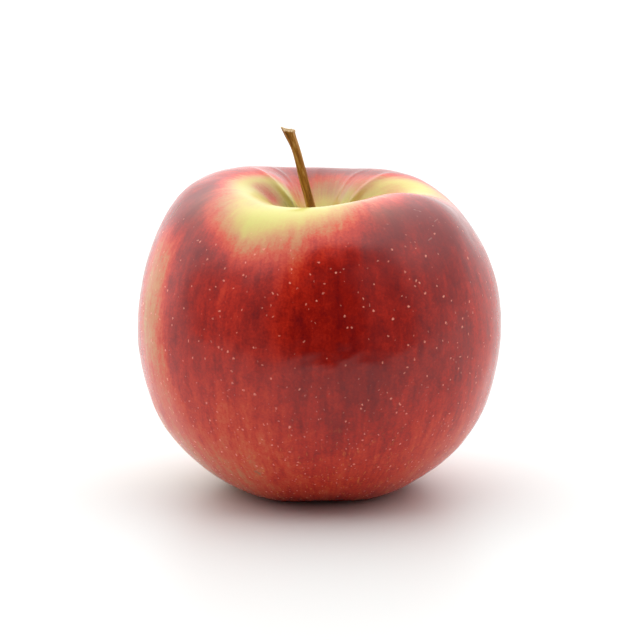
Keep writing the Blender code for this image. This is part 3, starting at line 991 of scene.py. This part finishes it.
def withered_threads(draw):
    """Stamens round the tube's inside and the styles in its middle."""
    parts = []
    floor = TUBE_FOOT + CUP_RINGS[-1][1]
    share = np.linspace(0, 1, THREAD_POINTS)
    for count, start, lean, lengths, radius in THREADS:
        radii = [radius] * (THREAD_POINTS - len(THREAD_HEAD)) + list(THREAD_HEAD)
        for _ in range(count):
            turn = TURN * len(parts) / count + draw.uniform(-THREAD_OFF_PLACE, THREAD_OFF_PLACE)
            length = draw.uniform(*lengths)
            stray = draw.uniform(-THREAD_OFF_REACH, THREAD_OFF_REACH)
            reach = start + lean * share + stray * share**2
            swing = turn + draw.uniform(-THREAD_SWING, THREAD_SWING) * share**2
            x, y = reach * np.cos(swing), reach * np.sin(swing)
            line = np.stack([x, y, floor - length * share], axis=1)
            parts.append(thread(line, radii, THREAD_SIDES))
    return joined(parts)


def make_calyx():
    draw = np.random.default_rng(CALYX_SEED)
    leaves = [sepal(number, draw) for number in range(LOBES)]
    points, faces = joined([calyx_cup(draw), *leaves])
    calyx = mesh_object("apple_calyx", points * MM, faces)
    calyx.data.materials.append(calyx_material("dried_sepals", SEPAL_COLOUR))
    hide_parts("calyx")
    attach(calyx, "root")

    points, faces = withered_threads(draw)
    threads = mesh_object("apple_stamens", points * MM, faces)
    threads.data.materials.append(calyx_material("withered_threads", THREAD_COLOUR))
    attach(threads, "root")


def calyx_material(name, pale):
    material, tree, surface = new_material(name)
    position = object_position(tree)
    fuzz = noise(tree, position, *FUZZ_NOISE)
    patches = noise(tree, position, *PATCH_NOISE)
    tone = calc(tree, "MULTIPLY", fuzz, FUZZ_TONE)
    tone = calc(tree, "MULTIPLY_ADD", patches, PATCH_TONE, tone)
    stops = [(place, tuple(part * share for part in pale)) for place, share in CALYX_TONES]
    tree.links.new(ramp(tree, tone, stops), surface.inputs["Base Color"])
    tree.links.new(add(tree, "Bump", {"Height": fuzz, **CALYX_BUMP}), surface.inputs["Normal"])
    surface.inputs["Roughness"].default_value = CALYX_ROUGHNESS
    return material


# ---------------------------------------------------------------------------------------------
# The light tent and the camera
# ---------------------------------------------------------------------------------------------

# How bright the tent is: low down at the sides, overhead, and where the opening is. Bearings are
# in degrees round from the camera's side towards +X, heights in degrees above the horizon.
SIDE_LIGHT = 1.20
SIDE_LEAN = (-0.30, 0.25)  # brighter towards -X and +Y
TOP_LIGHT = 2.4
TOP_HEIGHTS = (12, 62)
OPENINGS = [  # (share of the light missing, bearings of its left and right edges)
    (0.70, (-112, -72), (50, 70)),
    (0.97, (-38, -26), (28, 40)),
]
OPENING_TOP = (62, 76)
OPENING_FOOT = (-70, -50)
ARCH_MIDDLE = 5
ARCH_SLOPE = 0.45  # how much lower the opening's top edge is for each degree off its middle
BACKDROP_LIGHT = 1.2  # what the camera sees of the tent itself is at least this bright

# The floor is a slightly glossy white cloth. Its sides are in metres, and its front edge hangs
# unevenly below the tent's opening: (reach in metres, waves over a metre in radians, phase).
FLOOR_LEFT, FLOOR_RIGHT, FLOOR_FRONT, FLOOR_BACK = -6.0, 6.0, -0.2, 6.0
CLOTH_WAVES = [(0.035, 48, 0.6), (0.018, 115, 0)]
CLOTH_EDGE = np.linspace(-0.3, 0.3, 121)  # where the points of the wavy part lie, along X
CLOTH_WHITE = (0.70, 0.72, 0.71)
CLOTH_ROUGHNESS = 0.42

CAMERA_ELEVATION = math.radians(10)
CAMERA_DISTANCE = 450
CAMERA_AIM = (0.1, 0, 37.0)
CAMERA_LENS = 115.2
CAMERA_CLIPS = (0.01, 50)


def make_tent():
    """A white tent all round, with the dark opening that the camera looks in through."""
    world = bpy.data.worlds.new("light_tent")
    bpy.context.scene.world = world
    world.use_nodes = True
    tree = world.node_tree
    background = tree.nodes["Background"]
    direction = add(tree, "TexCoord")
    x, y, z = (add(tree, "SeparateXYZ", {0: direction}, out=axis) for axis in range(3))
    bearing = calc(tree, "DEGREES", calc(tree, "ARCTAN2", x, calc(tree, "MULTIPLY", y, -1.0)))
    elevation = calc(tree, "DEGREES", calc(tree, "ARCSINE", z))

    sideways = calc(tree, "MULTIPLY_ADD", x, SIDE_LEAN[0], SIDE_LIGHT)
    sideways = calc(tree, "MULTIPLY_ADD", y, SIDE_LEAN[1], sideways)
    overhead = fade(tree, elevation, *TOP_HEIGHTS)
    brighter = calc(tree, "SUBTRACT", TOP_LIGHT, sideways)
    light = calc(tree, "MULTIPLY_ADD", overhead, brighter, sideways)
    off_middle = calc(tree, "ABSOLUTE", calc(tree, "SUBTRACT", bearing, ARCH_MIDDLE))
    arched = calc(tree, "MULTIPLY_ADD", off_middle, ARCH_SLOPE, elevation)
    above_foot = fade(tree, elevation, *OPENING_FOOT)
    upright = calc(tree, "MULTIPLY", above_foot, fade(tree, arched, *OPENING_TOP[::-1]))
    missing = 0.0
    for share, left, right in OPENINGS:
        inside_left = fade(tree, bearing, *left)
        across = calc(tree, "MULTIPLY", inside_left, fade(tree, bearing, *right[::-1]))
        window = calc(tree, "MULTIPLY", across, upright)
        missing = calc(tree, "MAXIMUM", missing, calc(tree, "MULTIPLY", window, share))
    light = calc(tree, "MULTIPLY", light, calc(tree, "SUBTRACT", 1.0, missing))
    seen = add(tree, "LightPath")
    light = calc(tree, "MAXIMUM", light, calc(tree, "MULTIPLY", seen, BACKDROP_LIGHT))
    tree.links.new(light, background.inputs["Strength"])
    background.inputs["Color"].default_value = (1, 1, 1, 1)


def make_floor():
    waves = sum(reach * np.sin(CLOTH_EDGE * rate + phase) for reach, rate, phase in CLOTH_WAVES)
    front = [(x, FLOOR_FRONT + wave, 0) for x, wave in zip(CLOTH_EDGE, waves)]
    corners = [(FLOOR_LEFT, FLOOR_FRONT, 0), *front, (FLOOR_RIGHT, FLOOR_FRONT, 0)]
    corners += [(FLOOR_RIGHT, FLOOR_BACK, 0), (FLOOR_LEFT, FLOOR_BACK, 0)]
    floor = mesh_object("floor", corners, [tuple(range(len(corners)))], smooth=False)
    material, _, surface = new_material("tent_floor")
    surface.inputs["Base Color"].default_value = (*CLOTH_WHITE, 1)
    surface.inputs["Roughness"].default_value = CLOTH_ROUGHNESS
    floor.data.materials.append(material)


def make_camera():
    camera = bpy.data.objects.new("camera", bpy.data.cameras.new("camera"))
    bpy.context.scene.collection.objects.link(camera)
    back = Vector((0, -math.cos(CAMERA_ELEVATION), math.sin(CAMERA_ELEVATION)))
    camera.location = (Vector(CAMERA_AIM) + back * CAMERA_DISTANCE) * MM
    camera.rotation_euler = (-back).to_track_quat("-Z", "Y").to_euler()
    camera.data.lens = CAMERA_LENS
    camera.data.clip_start, camera.data.clip_end = CAMERA_CLIPS
    bpy.context.scene.camera = camera


make_camera()
make_skin()
make_stem()
make_calyx()
make_floor()
make_tent()
bpy.context.scene.view_settings.view_transform = "Standard"
